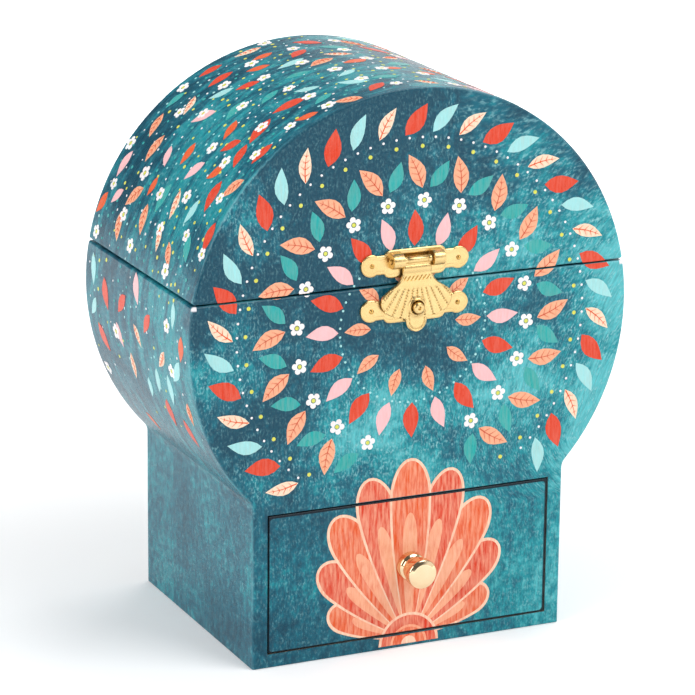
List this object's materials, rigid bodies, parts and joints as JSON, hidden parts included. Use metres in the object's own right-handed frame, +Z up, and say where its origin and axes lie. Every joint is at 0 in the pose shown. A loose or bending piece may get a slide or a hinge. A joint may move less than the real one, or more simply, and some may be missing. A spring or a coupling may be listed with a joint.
{
  "type": "ballerina jewellery box",
  "caption": "Round-headed musical jewellery box on a drawer base, with a hinged lid, brass clasp, mirror, lined trays and a wind-up movement that turns a dancer.",
  "frame": {"origin": "middle of the underside, on the surface that the box stands on", "axes": "+Z up, -Y the front with the clasp and the drawer, +X to the right seen from the front"},
  "size_m": [0.15, 0.1163, 0.1815],
  "materials": {
    "printed_paper": "satin print",
    "greyboard": "matte",
    "velvet_pink": "flocked",
    "felt_grey": "felt",
    "brass_stamped": "satin",
    "brass_polished": "polished",
    "mirror": "silvered",
    "steel": "plain",
    "movement_metal": "plain",
    "movement_brass": "plain",
    "turntable_plastic": "gloss",
    "dancer_skin": "satin",
    "tulle": "net"
  },
  "bodies": {
    "case": {"base_cover": "printed_paper", "base_front_board": "greyboard", "base_back_board": "greyboard", "base_side_walls": "greyboard", "bottom_board": "greyboard", "bottom_felt": "felt_grey", "bay_liners": "greyboard", "bay_ceiling": "greyboard", "tray_floor": "greyboard", "tub_lining": "velvet_pink", "tray_dividers": "velvet_pink", "ring_cushion": "velvet_pink", "catch_plate": "brass_stamped", "hinge_base_leaves": "brass_stamped", "hinge_pins": "brass_stamped", "base_nails": "brass_stamped", "key_eyelet": "brass_stamped", "spindle_bush": "brass_stamped", "movement_bedplate": "movement_metal", "movement_plates": "movement_metal", "train_bracket": "movement_metal", "comb": "steel", "movement_screws": "steel"},
    "lid": {"lid_cover": "printed_paper", "lid_front_board": "greyboard", "lid_back_board": "greyboard", "lid_arch": "greyboard", "lid_lining": "velvet_pink", "mirror_board": "greyboard", "mirror": "mirror", "lid_stop_block": "velvet_pink", "clasp_plate": "brass_stamped", "clasp_hinge_pin": "brass_stamped", "hinge_lid_leaves": "brass_stamped", "lid_nails": "brass_stamped"},
    "hasp": {"clasp_hasp": "brass_stamped"},
    "drawer": {"drawer_front": "printed_paper", "drawer_floor": "greyboard", "drawer_walls": "greyboard", "drawer_felt": "velvet_pink", "drawer_knob": "brass_polished", "knob_screw": "steel"},
    "key": {"winding_key": "brass_polished", "winding_arbor": "steel"},
    "barrel": {"spring_barrel": "movement_brass", "barrel_wheel": "movement_brass", "mainspring": "steel"},
    "cylinder": {"music_cylinder": "movement_brass", "cylinder_arbor": "movement_brass", "cylinder_pinion": "movement_brass", "cylinder_wheel": "movement_brass"},
    "train": {"train_wheel": "movement_brass"},
    "governor": {"governor_fan": "movement_brass"},
    "stop": {"stop_wire": "steel"},
    "dancer": {"dancer_spindle": "turntable_plastic", "contrate_wheel": "movement_brass", "dancer_spring": "steel", "dancer_figure": "dancer_skin", "dancer_tutu": "tulle"}
  },
  "joints": [
    {"name": "lid_hinge", "type": "hinge", "parent": "case", "child": "lid", "pos_m": [0, 0.04645, 0.12], "axis": [-1, 0, 0], "range_deg": [0, 100]},
    {"name": "hasp_swing", "type": "hinge", "parent": "lid", "child": "hasp", "pos_m": [0, -0.0467, 0.128], "axis": [-1, 0, 0], "range_deg": [0, 160]},
    {"name": "drawer_slide", "type": "slide", "parent": "case", "child": "drawer", "axis": [0, -1, 0], "range_m": [0, 0.06]},
    {"name": "key_turn", "type": "hinge", "parent": "case", "child": "key", "pos_m": [-0.0192, 0, 0.0701], "axis": [0, 1, 0], "continuous": true},
    {"name": "barrel_spin", "type": "hinge", "parent": "case", "child": "barrel", "pos_m": [-0.0192, 0, 0.0701], "axis": [0, 1, 0], "continuous": true},
    {"name": "cylinder_spin", "type": "hinge", "parent": "case", "child": "cylinder", "pos_m": [0, 0, 0.0701], "axis": [0, 1, 0], "continuous": true},
    {"name": "train_spin", "type": "hinge", "parent": "case", "child": "train", "pos_m": [0.00987, 0, 0.06651], "axis": [0, 1, 0], "continuous": true},
    {"name": "governor_spin", "type": "hinge", "parent": "case", "child": "governor", "pos_m": [0.01987, 0, 0.06651], "axis": [0, 1, 0], "continuous": true},
    {"name": "dancer_spin", "type": "hinge", "parent": "case", "child": "dancer", "pos_m": [0, -0.0002, 0.08815], "axis": [0, 0, 1], "continuous": true},
    {"name": "stop_slide", "type": "slide", "parent": "case", "child": "stop", "axis": [0, 0, 1], "range_m": [0, 0.002]}
  ],
  "couplings": [
    {"joint": "cylinder_spin", "follows": "barrel_spin", "ratio": -1.6667},
    {"joint": "train_spin", "follows": "barrel_spin", "ratio": 5.3333},
    {"joint": "governor_spin", "follows": "barrel_spin", "ratio": -21.333},
    {"joint": "dancer_spin", "follows": "barrel_spin", "ratio": 0.66667},
    {"joint": "stop_slide", "follows": "lid_hinge", "m_per_rad": 0.001145}
  ]
}
